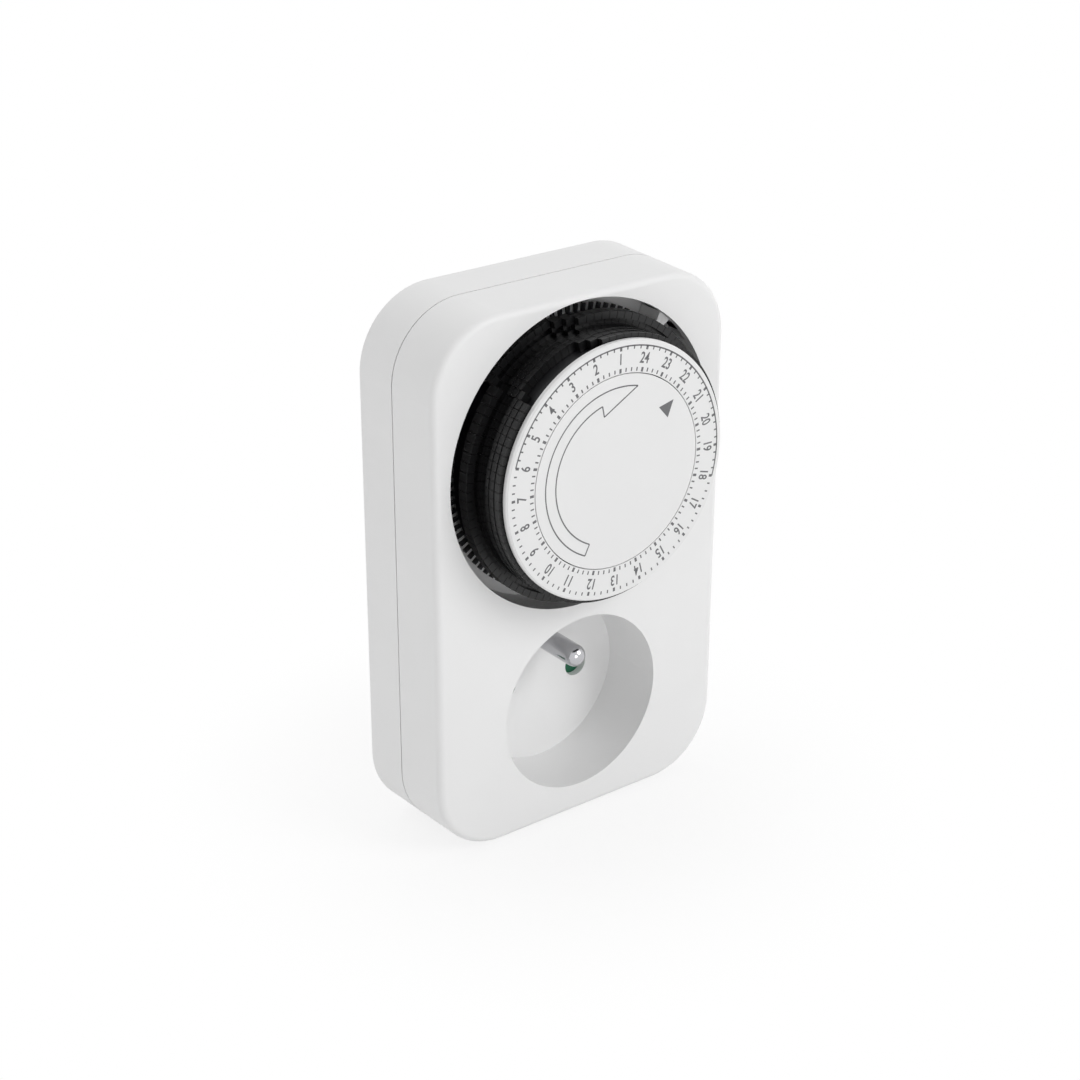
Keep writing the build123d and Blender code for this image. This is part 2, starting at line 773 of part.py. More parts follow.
# ------------------------------------------------------------------- current strips
with BuildPart() as live_strip:
    with BuildSketch(level(pin_root_top)):
        with Locations((pin_x, (riser_z + sheet_thickness / 2 - strip_width / 2) / 2)):
            Rectangle(strip_width, riser_z + sheet_thickness / 2 + strip_width / 2)
    extrude(amount=sheet_thickness)
    with BuildSketch(level(pin_root_top)):
        with Locations((pin_x, riser_z)):
            Rectangle(strip_width, sheet_thickness)
    extrude(amount=strip_top - pin_root_top)
    with BuildSketch(level(inside_level)):
        with Locations((pin_x, (riser_z - sheet_thickness / 2 + live_row_z) / 2)):
            Rectangle(strip_width, live_row_z - riser_z + sheet_thickness / 2)
        with Locations(((pin_x + column_x) / 2, live_row_z)):
            Rectangle(column_x - pin_x + strip_width, strip_width)
        with Locations((column_x, (live_row_z + upper_row_z) / 2)):
            Rectangle(column_width, upper_row_z - live_row_z + strip_width)
        with Locations(((column_x + blade_root_x) / 2, upper_row_z)):
            Rectangle(column_x - blade_root_x + column_width, strip_width)
        with Locations((blade_root_x, (upper_row_z + blade_tab_under + sheet_thickness) / 2)):
            Rectangle(strip_width, blade_tab_under + sheet_thickness - upper_row_z)
        with Locations((blade_root_x, blade_under - touch_gap - rib_height / 2)):
            Rectangle(
                rib_width + 2 * seat_gap, rib_height + 2 * seat_gap, mode=Mode.SUBTRACT
            )
    extrude(amount=sheet_thickness)
    with BuildSketch(level(inside_level)):
        with Locations((blade_root_x, blade_tab_under + sheet_thickness / 2)):
            Rectangle(strip_width, sheet_thickness)
    extrude(amount=blade_rear + blade_width - inside_level)

live_strip.part.label = "live_strip"
export_step(live_strip.part, "parts/live_strip.step")

fixed_strip_middle = fixed_strip_under + sheet_thickness / 2
fixed_strip_end = blade_contact_x + fixed_strip_overhang
with BuildPart() as fixed_contact:
    with BuildSketch(level(blade_rear)):
        with Locations(((fixed_strip_start + fixed_strip_end) / 2, fixed_strip_middle)):
            Rectangle(fixed_strip_end - fixed_strip_start, sheet_thickness)
    extrude(amount=blade_width)
    with BuildSketch(level(inside_level)):
        with Locations((fixed_strip_start + strip_width / 2, fixed_strip_middle)):
            Rectangle(strip_width, sheet_thickness)
    extrude(amount=blade_rear - inside_level)
    with BuildSketch(Plane.XY.offset(fixed_strip_under)):
        with Locations((blade_contact_x, -blade_rear - blade_width / 2)):
            Circle(contact_radius)
    extrude(amount=-contact_height)

fixed_contact.part.label = "fixed_contact"
export_step(fixed_contact.part, "parts/fixed_contact.step")

fixed_leg_x = fixed_strip_start + strip_width / 2
with BuildPart() as load_strip:
    with BuildSketch(level(inside_level)):
        with Locations((fixed_leg_x, (fixed_strip_under + upper_row_z) / 2)):
            Rectangle(strip_width, fixed_strip_under - upper_row_z)
        with Locations(((fixed_leg_x - column_x) / 2, upper_row_z)):
            Rectangle(fixed_leg_x + column_x + strip_width, strip_width)
        with Locations((-column_x, (load_row_z + upper_row_z) / 2)):
            Rectangle(strip_width, upper_row_z - load_row_z + strip_width)
        with Locations(((pin_x - column_x) / 2, load_row_z)):
            Rectangle(pin_x + column_x + strip_width, strip_width)
    extrude(amount=sheet_thickness)
    with BuildSketch(level(inside_level)):
        with Locations((pin_x, load_row_z)):
            Rectangle(strip_width, strip_width)
    extrude(amount=bridge_level - inside_level)
    with BuildSketch(level(bridge_level)):
        with Locations((pin_x, (load_row_z + strip_width / 2 + sleeve_radius + seat_gap) / 2)):
            Rectangle(strip_width, load_row_z + strip_width / 2 - sleeve_radius - seat_gap)
    extrude(amount=sheet_thickness)

load_strip.part.label = "load_strip"
export_step(load_strip.part, "parts/load_strip.step")

with BuildPart() as contact_blade:
    with BuildSketch(level(blade_rear)):
        with Locations(((blade_root_x + lever_knee[0]) / 2, blade_under + blade_thickness / 2)):
            Rectangle(lever_knee[0] - blade_root_x + strip_width, blade_thickness)
    extrude(amount=blade_width)
    with BuildSketch(Plane.XY.offset(blade_top)):
        with Locations((blade_contact_x, -blade_rear - blade_width / 2)):
            Circle(contact_radius)
    extrude(amount=contact_height)

contact_blade.part.label = "contact_blade"
export_step(contact_blade.part, "parts/contact_blade.step")

# --------------------------------------------------------------------- switch lever
feeler_tip_radius = foot_radius + feeler_gap
feeler_tip = on_dial(feeler_tip_radius, feeler_angle)
feeler_back = on_dial(feeler_tip_radius + feeler_length, feeler_angle)
tongue_tip = on_dial(feeler_tip_radius + feeler_wall, feeler_angle)
tongue_root = on_dial(knee_radius, feeler_angle)
tongue_width = feeler_width - 2 * feeler_wall
nose_front = on_dial(feeler_tip_radius + feeler_length + running_gap, feeler_angle)
with BuildPart() as switch_lever:
    with BuildSketch(level(lever_rear)):
        with BuildLine():
            Polyline(
                *lever_arm_corners(tongue_root, tongue_tip, tongue_width, tongue_width),
                close=True,
            )
        make_face()
    extrude(amount=lever_arm_height - feeler_wall)
    with BuildSketch(level(lever_rear)):
        with Locations(lever_pivot):
            Circle(lever_boss_radius)
        with Locations(lever_knee):
            Circle(finger_radius)
        with BuildLine():
            Polyline(
                *lever_arm_corners(lever_pivot, lever_knee, lever_arm_width, lever_arm_width),
                close=True,
            )
        make_face()
        with BuildLine():
            Polyline(
                *lever_arm_corners(
                    tongue_root, nose_front, feeler_back_width, feeler_back_width
                ),
                close=True,
            )
        make_face()
        with Locations(lever_pivot):
            Circle(lever_pin_radius + running_gap, mode=Mode.SUBTRACT)
    extrude(amount=lever_arm_height)
    with BuildSketch(level(lever_post_top + slide_gap)):
        with Locations(lever_pivot):
            Circle(lever_boss_radius)
            Circle(lever_pin_radius + running_gap, mode=Mode.SUBTRACT)
    extrude(amount=lever_rear - lever_post_top - slide_gap)
    with BuildSketch(level(blade_rear)):
        with Locations(lever_knee):
            Circle(finger_radius)
    extrude(amount=lever_rear - blade_rear)

switch_lever.part.label = "switch_lever"
export_step(switch_lever.part, "parts/switch_lever.step")

# a slippery shoe, pushed over the lever's tongue, meets the tappets' feet
with BuildPart() as feeler_shoe:
    with BuildSketch(level(ring_gear_under)):
        with BuildLine():
            Polyline(
                *lever_arm_corners(feeler_back, feeler_tip, feeler_width, feeler_nose_width),
                close=True,
            )
        make_face()
    extrude(amount=lever_front - ring_gear_under)
    with BuildSketch(level(lever_rear - seat_gap)):
        with BuildLine():
            Polyline(
                *lever_arm_corners(
                    tongue_root,
                    on_dial(feeler_tip_radius + feeler_wall - seat_gap, feeler_angle),
                    tongue_width + 2 * seat_gap,
                    tongue_width + 2 * seat_gap,
                ),
                close=True,
            )
        make_face()
    extrude(amount=lever_arm_height - feeler_wall + 2 * seat_gap, mode=Mode.SUBTRACT)

feeler_shoe.part.label = "feeler_shoe"
export_step(feeler_shoe.part, "parts/feeler_shoe.step")

with BuildPart() as lever_pin:
    with BuildSketch(level(lever_post_top - lever_pin_seat)):
        with Locations(lever_pivot):
            Circle(lever_pin_radius)
    extrude(amount=lever_front + slide_gap - lever_post_top + lever_pin_seat)

lever_pin.part.label = "lever_pin"
export_step(lever_pin.part, "parts/lever_pin.step")

# ---------------------------------------------------------------------------- motor
with BuildPart() as motor_can:
    with BuildSketch(level(inside_level)):
        with Locations((0, dial_z)):
            Circle(motor_radius)
    extrude(amount=motor_height)
    with BuildSketch(level(inside_level + motor_sheet)):
        with Locations((0, dial_z)):
            Circle(motor_radius - motor_sheet)
    extrude(amount=motor_height - motor_sheet, mode=Mode.SUBTRACT)

motor_can.part.label = "motor_can"
export_step(motor_can.part, "parts/motor_can.step")

with BuildPart() as motor_cover:
    with BuildSketch(level(motor_cover_under)):
        with Locations((0, dial_z)):
            Circle(motor_radius)
            SlotCenterToCenter(2 * motor_ear_reach, motor_ear_width)
        with Locations(arbor_place):
            Circle(arbor_lug_radius)
        with Locations((0, dial_z)):
            Circle(motor_shaft_radius + running_gap, mode=Mode.SUBTRACT)
        with Locations(arbor_place):
            Circle(arbor_radius + seat_gap, mode=Mode.SUBTRACT)
        with Locations(*motor_posts):
            Circle(motor_screw_radius + slide_gap, mode=Mode.SUBTRACT)
    extrude(amount=motor_sheet)

motor_cover.part.label = "motor_cover"
export_step(motor_cover.part, "parts/motor_cover.step")

with BuildPart() as motor_coil:
    with BuildSketch(level(inside_level + motor_sheet)):
        with Locations((0, dial_z)):
            Circle(motor_radius - coil_side_gap)
            Circle(coil_inner_radius, mode=Mode.SUBTRACT)
    extrude(amount=coil_height)

motor_coil.part.label = "motor_coil"
export_step(motor_coil.part, "parts/motor_coil.step")

rotor_under = inside_level + motor_sheet + gear_side_gap
with BuildPart() as motor_rotor:
    with BuildSketch(level(rotor_under)):
        with Locations((0, dial_z)):
            Circle(rotor_radius)
            Circle(motor_shaft_radius + seat_gap, mode=Mode.SUBTRACT)
    extrude(amount=rotor_height)

motor_rotor.part.label = "motor_rotor"
export_step(motor_rotor.part, "parts/motor_rotor.step")

with BuildPart() as motor_shaft:
    with BuildSketch(level(inside_level + motor_sheet + slide_gap)):
        with Locations((0, dial_z)):
            Circle(motor_shaft_radius)
    extrude(amount=wheel_top + slide_gap - inside_level - motor_sheet - slide_gap)

motor_shaft.part.label = "motor_shaft"
export_step(motor_shaft.part, "parts/motor_shaft.step")

with BuildPart() as motor_screws:
    with BuildSketch(level(motor_cover_top)):
        with Locations(*motor_posts):
            Circle(motor_screw_head_radius)
            Rectangle(4 * motor_screw_head_radius, motor_screw_slot, mode=Mode.SUBTRACT)
    extrude(amount=motor_screw_head_height)
    with BuildSketch(level(motor_cover_top)):
        with Locations(*motor_posts):
            Circle(motor_screw_head_radius)
    extrude(amount=motor_screw_head_height / 2)
    with BuildSketch(level(motor_cover_top)):
        with Locations(*motor_posts):
            Circle(motor_screw_radius)
    extrude(amount=-motor_screw_reach)

motor_screws.part.label = "motor_screws"
export_step(motor_screws.part, "parts/motor_screws.step")

# ---------------------------------------------------------------------------- gears
# A tooth of each pinion stands in the first space of its wheel.
wheel_first_tooth = arbor_direction + 180 + 180 / wheel_teeth
ring_first_tooth = arbor_direction + 180 / ring_teeth

with BuildPart() as motor_pinion:
    with BuildSketch(level(wheel_under)):
        with BuildLine():
            Polyline(
                *tooth_points((0, dial_z), motor_pinion_teeth, wheel_module, arbor_direction),
                close=True,
            )
        make_face()
        with Locations((0, dial_z)):
            Circle(motor_shaft_radius + seat_gap, mode=Mode.SUBTRACT)
    extrude(amount=wheel_thickness)

motor_pinion.part.label = "motor_pinion"
export_step(motor_pinion.part, "parts/motor_pinion.step")

with BuildPart() as gear_arbor:
    with BuildSketch(level(motor_cover_under)):
        with Locations(arbor_place):
            Circle(arbor_radius)
    extrude(amount=drum_disc_under - 2 * gear_side_gap - motor_cover_under)

gear_arbor.part.label = "gear_arbor"
export_step(gear_arbor.part, "parts/gear_arbor.step")

with BuildPart() as reduction_wheel:
    with BuildSketch(level(wheel_under)):
        with BuildLine():
            Polyline(
                *tooth_points(arbor_place, wheel_teeth, wheel_module, wheel_first_tooth),
                close=True,
            )
        make_face()
        with Locations(arbor_place):
            Circle(arbor_radius + running_gap, mode=Mode.SUBTRACT)
            with PolarLocations(wheel_hole_circle, wheel_hole_count):
                Circle(wheel_hole_radius, mode=Mode.SUBTRACT)
    extrude(amount=wheel_thickness)

reduction_wheel.part.label = "reduction_wheel"
export_step(reduction_wheel.part, "parts/reduction_wheel.step")

with BuildPart() as drive_pinion:
    with BuildSketch(level(wheel_top)):
        with BuildLine():
            Polyline(
                *tooth_points(arbor_place, drive_pinion_teeth, ring_module, arbor_direction),
                close=True,
            )
        make_face()
        with Locations(arbor_place):
            Circle(arbor_radius + running_gap, mode=Mode.SUBTRACT)
    extrude(amount=drum_disc_under - gear_side_gap - wheel_top)

drive_pinion.part.label = "drive_pinion"
export_step(drive_pinion.part, "parts/drive_pinion.step")

# --------------------------------------------------------------------- program drum
first_notch_angle = 90 - zero_hour_angle
with BuildPart() as program_drum:
    with BuildSketch(level(drum_disc_under)):
        with Locations((0, dial_z)):
            Circle(foot_radius)
            with PolarLocations(foot_radius, tappet_count, first_notch_angle):
                Rectangle(2 * notch_depth, notch_width, mode=Mode.SUBTRACT)
    extrude(amount=drum_disc_thickness)
    with BuildSketch(level(ring_gear_under)):
        with Locations((0, dial_z)):
            Circle(ring_module * ring_teeth / 2 + ring_gear_rim)
        with BuildLine():
            Polyline(
                *tooth_points((0, dial_z), ring_teeth, ring_module, ring_first_tooth, inward=True),
                close=True,
            )
        make_face(mode=Mode.SUBTRACT)
    extrude(amount=drum_disc_under - ring_gear_under)
    with BuildSketch(level(drum_disc_top)):
        with Locations((0, dial_z)):
            Circle(drum_wall_radius)
            Circle(drum_wall_radius - drum_wall, mode=Mode.SUBTRACT)
    extrude(amount=dial_under - drum_disc_top)
    with BuildSketch(level(recess_floor + slide_gap)):
        with Locations((0, dial_z)):
            Circle(drum_hub_radius)
    extrude(amount=dial_under - 2 * slide_gap - recess_floor)
    with BuildSketch(level(recess_floor)):
        with Locations((0, dial_z)):
            Circle(hub_post_radius + running_gap)
    extrude(amount=dial_top - recess_floor, mode=Mode.SUBTRACT)

program_drum.part.label = "program_drum"
export_step(program_drum.part, "parts/program_drum.step")

# ------------------------------------------------------------------- dial and centre
with BuildPart() as dial_ring:
    with BuildSketch(level(dial_under)):
        with Locations((0, dial_z)):
            Circle(dial_radius)
    extrude(amount=dial_thickness)
    chamfer(dial_ring.edges().group_by(Axis.Y)[0], dial_edge_bevel)
    with BuildSketch(level(dial_under)):
        with Locations((0, dial_z)):
            Circle(ring_inner_radius)
    extrude(amount=dial_thickness, mode=Mode.SUBTRACT)

dial_ring.part.label = "dial_ring"
export_step(dial_ring.part, "parts/dial_ring.step")

with BuildPart() as centre_cap:
    with BuildSketch(level(dial_under)):
        with Locations((0, dial_z)):
            Circle(ring_inner_radius - slide_gap)
    extrude(amount=dial_thickness)
    with BuildSketch(level(dial_under)):
        with Locations((0, dial_z)):
            Circle(cap_stem_radius)
    extrude(amount=-(cap_spigot_length - slide_gap))

centre_cap.part.label = "centre_cap"
export_step(centre_cap.part, "parts/centre_cap.step")

# -------------------------------------------------------------------------- tappets
def tappet_group(first, count, pushed):
    """Tappets for quarter hours first, first + 1, ... which are slid together."""
    top = head_top - tappet_travel * pushed
    neck = top - tappet_head_height
    foot = neck - tappet_neck_height
    groove = foot - tappet_groove_depth
    rib = (tappet_head_height - 2 * grip_rib_height) / 3
    head_radius = foot_radius - tappet_head_depth
    slices = [
        (foot - tappet_foot_height, groove, tappet_root_radius, foot_radius),
        (groove, foot, foot_radius - tappet_lip, foot_radius),
        (groove, foot, tappet_root_radius, foot_radius - tappet_groove_end),
        (foot, neck, tappet_root_radius, foot_radius - tappet_neck_depth),
        (neck, top, tappet_root_radius, head_radius - grip_rib_depth),
        (neck, neck + rib, tappet_root_radius, head_radius),
        (neck + rib + grip_rib_height, top - rib - grip_rib_height, tappet_root_radius, head_radius),
        (top - rib, top, tappet_root_radius, head_radius),
    ]
    half = (step_angle - degrees(tappet_gap / tappet_root_radius)) / 2
    with BuildPart() as group:
        for rear, front, inner, outer in slices:
            with BuildSketch(level(rear)):
                for quarter in range(first, first + count):
                    angle = zero_hour_angle - (quarter + 0.5) * step_angle
                    with BuildLine():
                        Polyline(
                            on_dial(inner, angle - half),
                            on_dial(outer, angle - half),
                            on_dial(outer, angle + half),
                            on_dial(inner, angle + half),
                            close=True,
                        )
                    make_face()
            extrude(amount=front - rear)
    return group


# Neighbours that stand alike make one group of four at most, named by its first time.
quarter = 3
while quarter < 3 + tappet_count:
    pushed = pushed_quarters.get(quarter % tappet_count, 0)
    count = 1
    while (quarter + count) % 4 != 3 and pushed_quarters.get(quarter + count, 0) == pushed:
        count += 1
    name = f"tappets_{quarter // 4:02d}{quarter % 4 * 15:02d}"
    tappets = tappet_group(quarter, count, pushed)
    tappets.part.label = name
    export_step(tappets.part, f"parts/{name}.step")
    quarter += count
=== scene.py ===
# %% [markdown]
# # A plug-in timer, dressed for its portrait
#
# The timer's solid parts, with their real sizes and joints, are already made. What is
# left is how they look: the plastics and metals, the 24-hour scale printed on the dial,
# a floor, the light and the camera. Each cell below takes one of these.
#
# Everything is in metres. +X is to the right as the user sees the timer, +Z is up, and
# -Y points out of the wall towards the user.

# %% Load the solid parts
from math import atan2, cos, pi, radians, sin

import bpy
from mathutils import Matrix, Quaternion, Vector


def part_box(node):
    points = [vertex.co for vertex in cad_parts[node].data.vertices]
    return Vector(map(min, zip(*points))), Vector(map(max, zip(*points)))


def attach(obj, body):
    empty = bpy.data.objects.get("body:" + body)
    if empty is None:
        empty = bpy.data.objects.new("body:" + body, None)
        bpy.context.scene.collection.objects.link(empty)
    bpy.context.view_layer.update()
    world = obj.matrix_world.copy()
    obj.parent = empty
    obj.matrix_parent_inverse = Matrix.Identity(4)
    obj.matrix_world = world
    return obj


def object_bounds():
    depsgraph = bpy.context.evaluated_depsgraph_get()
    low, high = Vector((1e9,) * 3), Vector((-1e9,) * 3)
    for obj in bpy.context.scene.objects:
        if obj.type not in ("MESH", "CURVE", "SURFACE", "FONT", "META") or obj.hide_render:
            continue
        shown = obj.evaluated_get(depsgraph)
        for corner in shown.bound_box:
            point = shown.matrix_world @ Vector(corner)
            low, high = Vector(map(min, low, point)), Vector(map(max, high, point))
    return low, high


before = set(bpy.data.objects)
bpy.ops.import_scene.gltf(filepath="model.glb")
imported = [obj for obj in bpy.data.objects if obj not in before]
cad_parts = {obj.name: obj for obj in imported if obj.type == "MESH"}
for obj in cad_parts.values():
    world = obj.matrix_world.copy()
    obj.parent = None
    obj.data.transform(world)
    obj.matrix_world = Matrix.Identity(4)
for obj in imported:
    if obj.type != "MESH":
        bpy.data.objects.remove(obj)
solid_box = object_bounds()
MM = 0.001

# %% [markdown]
# ## Where things are
#
# The dial is the one place where new pieces are added, so its axis and its front face
# are read from the solid dial ring. Angles on a clock run clockwise from the top, which
# is how the first helper below counts them. The second one selects objects, because
# Blender's operators act on whatever is selected.

# %% The dial's axis and face
ring_low, ring_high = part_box("dial_ring")
DIAL_X = (ring_low.x + ring_high.x) / 2
DIAL_Z = (ring_low.z + ring_high.z) / 2
DIAL_FRONT = ring_low.y


def on_dial(radius_mm, angle):
    """A point on the dial's face, with the angle in degrees clockwise from the top."""
    turn = radians(angle)
    across = radius_mm * MM * sin(turn)
    upward = radius_mm * MM * cos(turn)
    return Vector((DIAL_X + across, DIAL_FRONT, DIAL_Z + upward))


def only(*objects):
    """Select just these objects, and make the last of them the active one."""
    bpy.ops.object.select_all(action="DESELECT")
    for each in objects:
        each.select_set(True)
    bpy.context.view_layer.objects.active = objects[-1]


print("dial face at y =", round(DIAL_FRONT / MM, 2), "mm")

# %% [markdown]
# ## The camera
#
# The timer is seen from its left, a little from above, through a short telephoto lens.
# The camera is put where its aim, distance and two angles say, turned to look at the
# aim, and then rolled by a hair.

# %% Camera
AIM = Vector((-11.15, -42.8, 40.73)) * MM
DISTANCE = 444.8 * MM
AZIMUTH = radians(-37.35)
ELEVATION = radians(24.79)
ROLL = radians(0.16)
LENS_MM = 73.84
SENSOR_MM = 36
NEAREST_SEEN = 10 * MM

away = Vector((cos(ELEVATION) * sin(AZIMUTH), -cos(ELEVATION) * cos(AZIMUTH), sin(ELEVATION)))
bpy.ops.object.camera_add(location=AIM + DISTANCE * away)
camera = bpy.context.object
camera.name = "portrait_camera"
camera.data.sensor_width = SENSOR_MM
camera.data.lens = LENS_MM
camera.data.clip_start = NEAREST_SEEN
camera.rotation_mode = "QUATERNION"
camera.rotation_quaternion = (-away).to_track_quat("-Z", "Y") @ Quaternion((0, 0, 1), ROLL)
bpy.context.scene.camera = camera
print("camera at", [round(c / MM, 1) for c in camera.location], "mm")

# %% [markdown]
# ## Colours and nodes
#
# Shaders work in linear light, while a colour is easier to read as the sRGB hex value
# that a colour picker shows. One function turns one into the other by the sRGB curve. A
# second adds a node with its settings and its links, so that a material below reads as a
# short list. A third starts a material, and a fourth joins what was made to its shader.

# %% Material helpers
def linear(hex_colour):
    """An sRGB hex colour as the linear RGBA that shaders work in."""
    channels = [int(hex_colour[place:place + 2], 16) / 255 for place in (1, 3, 5)]
    light = [c / 12.92 if c <= 0.04045 else ((c + 0.055) / 1.055) ** 2.4 for c in channels]
    return (*light, 1.0)


def add_node(material, kind, settings=None, inputs=None):
    """Add a node, set its options, and fill or link its inputs."""
    tree = material.node_tree
    node = tree.nodes.new("ShaderNode" + kind)
    for option, value in (settings or {}).items():
        setattr(node, option, value)
    for name, value in (inputs or {}).items():
        if isinstance(value, bpy.types.NodeSocket):
            tree.links.new(value, node.inputs[name])
        else:
            node.inputs[name].default_value = value
    return node


def start_material(name, roughness, metallic=0.0, ior=None):
    """A material with its Principled shader, and a node that gives the place on a piece."""
    material = bpy.data.materials.new(name)
    material.use_nodes = True
    shader = material.node_tree.nodes["Principled BSDF"]
    shader.inputs["Roughness"].default_value = roughness
    shader.inputs["Metallic"].default_value = metallic
    if ior:
        shader.inputs["IOR"].default_value = ior
    place = add_node(material, "TexCoord")
    return material, shader, place.outputs["Object"]


def link(material, output, shader, name):
    """Join a node's output to one of the shader's inputs."""
    material.node_tree.links.new(output, shader.inputs[name])


MID_GREY = "#808080"
print("mid grey", MID_GREY, "is", round(linear(MID_GREY)[0], 3), "in linear light")

# %% [markdown]
# ## Moulded plastics
#
# Nearly all that shows is injection-moulded plastic. The mould's steel is spark-eroded
# and polished, which leaves a very fine grain, and the melt leaves soft flow marks that
# change the gloss a little over a centimetre or two. The grain is drawn coarser than the
# real one, which is too fine to show. A bump node turns it into small slopes.

# %% Moulded plastic
FLOW_MM = 14
FLOW_GLOSS = 0.04
GRAIN_STRENGTH = 0.35
PLASTIC_IOR = 1.53


def moulded(name, colour, shade, roughness, grain_mm, grain_depth_mm, ior=PLASTIC_IOR):
    """Plastic from a mould: two close colours in soft flow marks, under a fine grain."""
    material, shader, place = start_material(name, roughness, ior=ior)
    flow = add_node(material, "TexNoise", inputs={"Vector": place, "Scale": 1 / (FLOW_MM * MM)})
    mix = add_node(
        material,
        "Mix",
        {"data_type": "RGBA"},
        {"Factor": flow.outputs["Fac"], "A": linear(colour), "B": linear(shade)},
    )
    gloss = add_node(
        material,
        "MapRange",
        inputs={
            "Value": flow.outputs["Fac"],
            "To Min": roughness - FLOW_GLOSS,
            "To Max": roughness + FLOW_GLOSS,
        },
    )
    grain = add_node(
        material, "TexNoise", inputs={"Vector": place, "Scale": 1 / (grain_mm * MM), "Detail": 3.0}
    )
    bump = add_node(
        material,
        "Bump",
        inputs={
            "Height": grain.outputs["Fac"],
            "Strength": GRAIN_STRENGTH,
            "Distance": grain_depth_mm * MM,
        },
    )
    link(material, mix.outputs["Result"], shader, "Base Color")
    link(material, gloss.outputs["Result"], shader, "Roughness")
    link(material, bump.outputs["Normal"], shader, "Normal")
    return material


case_white = moulded("case_abs_satin_white", "#E6E6E6", "#E3E3E3", 0.48, 0.5, 0.012)
dial_white = moulded("dial_abs_matt_white", "#E0E0E0", "#DEDEDE", 0.48, 0.4, 0.010)
drum_black = moulded("drum_abs_black", "#17171A", "#1E1E20", 0.34, 0.5, 0.012)
lever_black = moulded("lever_acetal_black", "#18181A", "#202022", 0.32, 0.4, 0.008)
shoe_white = moulded("shoe_acetal_white", "#F2F2F2", "#ECECEC", 0.30, 0.4, 0.008)
gear_natural = moulded("gear_acetal_natural", "#E6E2D6", "#DFDACC", 0.32, 0.4, 0.008)
tappet_black = moulded("tappet_abs_black", "#0C0C0D", "#121213", 0.30, 0.35, 0.010, ior=1.46)
shutter_green = moulded("shutter_nylon_green", "#146446", "#0F5A3E", 0.40, 0.4, 0.010)
print("moulded plastics, from", case_white.name, "to", shutter_green.name)

# %% [markdown]
# ## Metals
#
# The pins are turned brass with a nickel plating, which keeps the faint rings of the
# lathe. Shafts, the arbor and the lever's pin are ground steel, with finer rings. The
# sleeves, the strips and the earth strap are stamped from rolled brass and the contact
# blade from rolled bronze, with streaks along the roll. Screws, the motor's can and
# cover and the shutter's clip are zinc-plated steel, slightly cloudy. The wave texture
# goes through 20 radians in one unit at scale 1, so its scale follows from a pitch.

# %% Metals
WAVE_RADIANS = 20
FEED_STRENGTH = 0.15
FEED_DEPTH_MM = 0.01
ALONG_THE_ROLL = 0.05
DULLEST_STREAK = 0.08
BRIGHTEST_STREAK = 0.06


def rings_for(pitch_mm):
    """The wave texture's scale that gives bands of this pitch."""
    return 2 * pi / WAVE_RADIANS / (pitch_mm * MM)


def turned(name, colour, roughness, pitch_mm):
    """Metal from a lathe: rings around the Y axis, a pitch of feed apart."""
    material, shader, place = start_material(name, roughness, metallic=1.0)
    shader.inputs["Base Color"].default_value = linear(colour)
    feed = add_node(
        material,
        "TexWave",
        {"wave_type": "BANDS", "bands_direction": "Y"},
        {"Vector": place, "Scale": rings_for(pitch_mm), "Distortion": 1.5, "Detail": 2.0},
    )
    bump = add_node(
        material,
        "Bump",
        inputs={
            "Height": feed.outputs["Fac"],
            "Strength": FEED_STRENGTH,
            "Distance": FEED_DEPTH_MM * MM,
        },
    )
    link(material, bump.outputs["Normal"], shader, "Normal")
    return material


def rolled(name, colour, tarnish, roughness, streak_mm):
    """Sheet metal from a mill: long streaks up the strip, and a little tarnish."""
    material, shader, place = start_material(name, roughness, metallic=1.0)
    stretch = add_node(
        material, "Mapping", inputs={"Vector": place, "Scale": (1.0, 1.0, ALONG_THE_ROLL)}
    )
    streaks = add_node(
        material,
        "TexNoise",
        inputs={"Vector": stretch.outputs["Vector"], "Scale": 1 / (streak_mm * MM)},
    )
    mix = add_node(
        material,
        "Mix",
        {"data_type": "RGBA"},
        {"Factor": streaks.outputs["Fac"], "A": linear(colour), "B": linear(tarnish)},
    )
    gloss = add_node(
        material,
        "MapRange",
        inputs={
            "Value": streaks.outputs["Fac"],
            "To Min": roughness - BRIGHTEST_STREAK,
            "To Max": roughness + DULLEST_STREAK,
        },
    )
    link(material, mix.outputs["Result"], shader, "Base Color")
    link(material, gloss.outputs["Result"], shader, "Roughness")
    return material


pin_nickel = turned("pin_brass_nickel_plated", "#BDBDC0", 0.14, 0.25)
shaft_steel = turned("shaft_steel_ground", "#B9BABC", 0.25, 0.15)
strip_brass = rolled("strip_brass_stamped", "#D9B25E", "#B98F3E", 0.28, 0.4)
blade_bronze = rolled("blade_bronze_sprung", "#C98F5A", "#AE7441", 0.30, 0.3)
zinc_steel = rolled("screw_steel_zinc_plated", "#BEC0C2", "#A6A9AC", 0.33, 0.8)
print("metals, from", pin_nickel.name, "to", zinc_steel.name)

# %% [markdown]
# ## The coil and the magnet
#
# Inside the motor, the coil is enamelled copper wire in close turns, and the rotor is a
# pressed and sintered ferrite magnet, dark and matt with tiny pores.

# %% Coil and magnet
WIRE_MM = 0.35
WIRE_ROUGHNESS = 0.28
WIRE_METALLIC = 0.9
TURN_STRENGTH = 0.6
TURN_DEPTH_MM = 0.06
PORE_MM = 0.6
FERRITE_ROUGHNESS = 0.62
FERRITE_IOR = 2.2


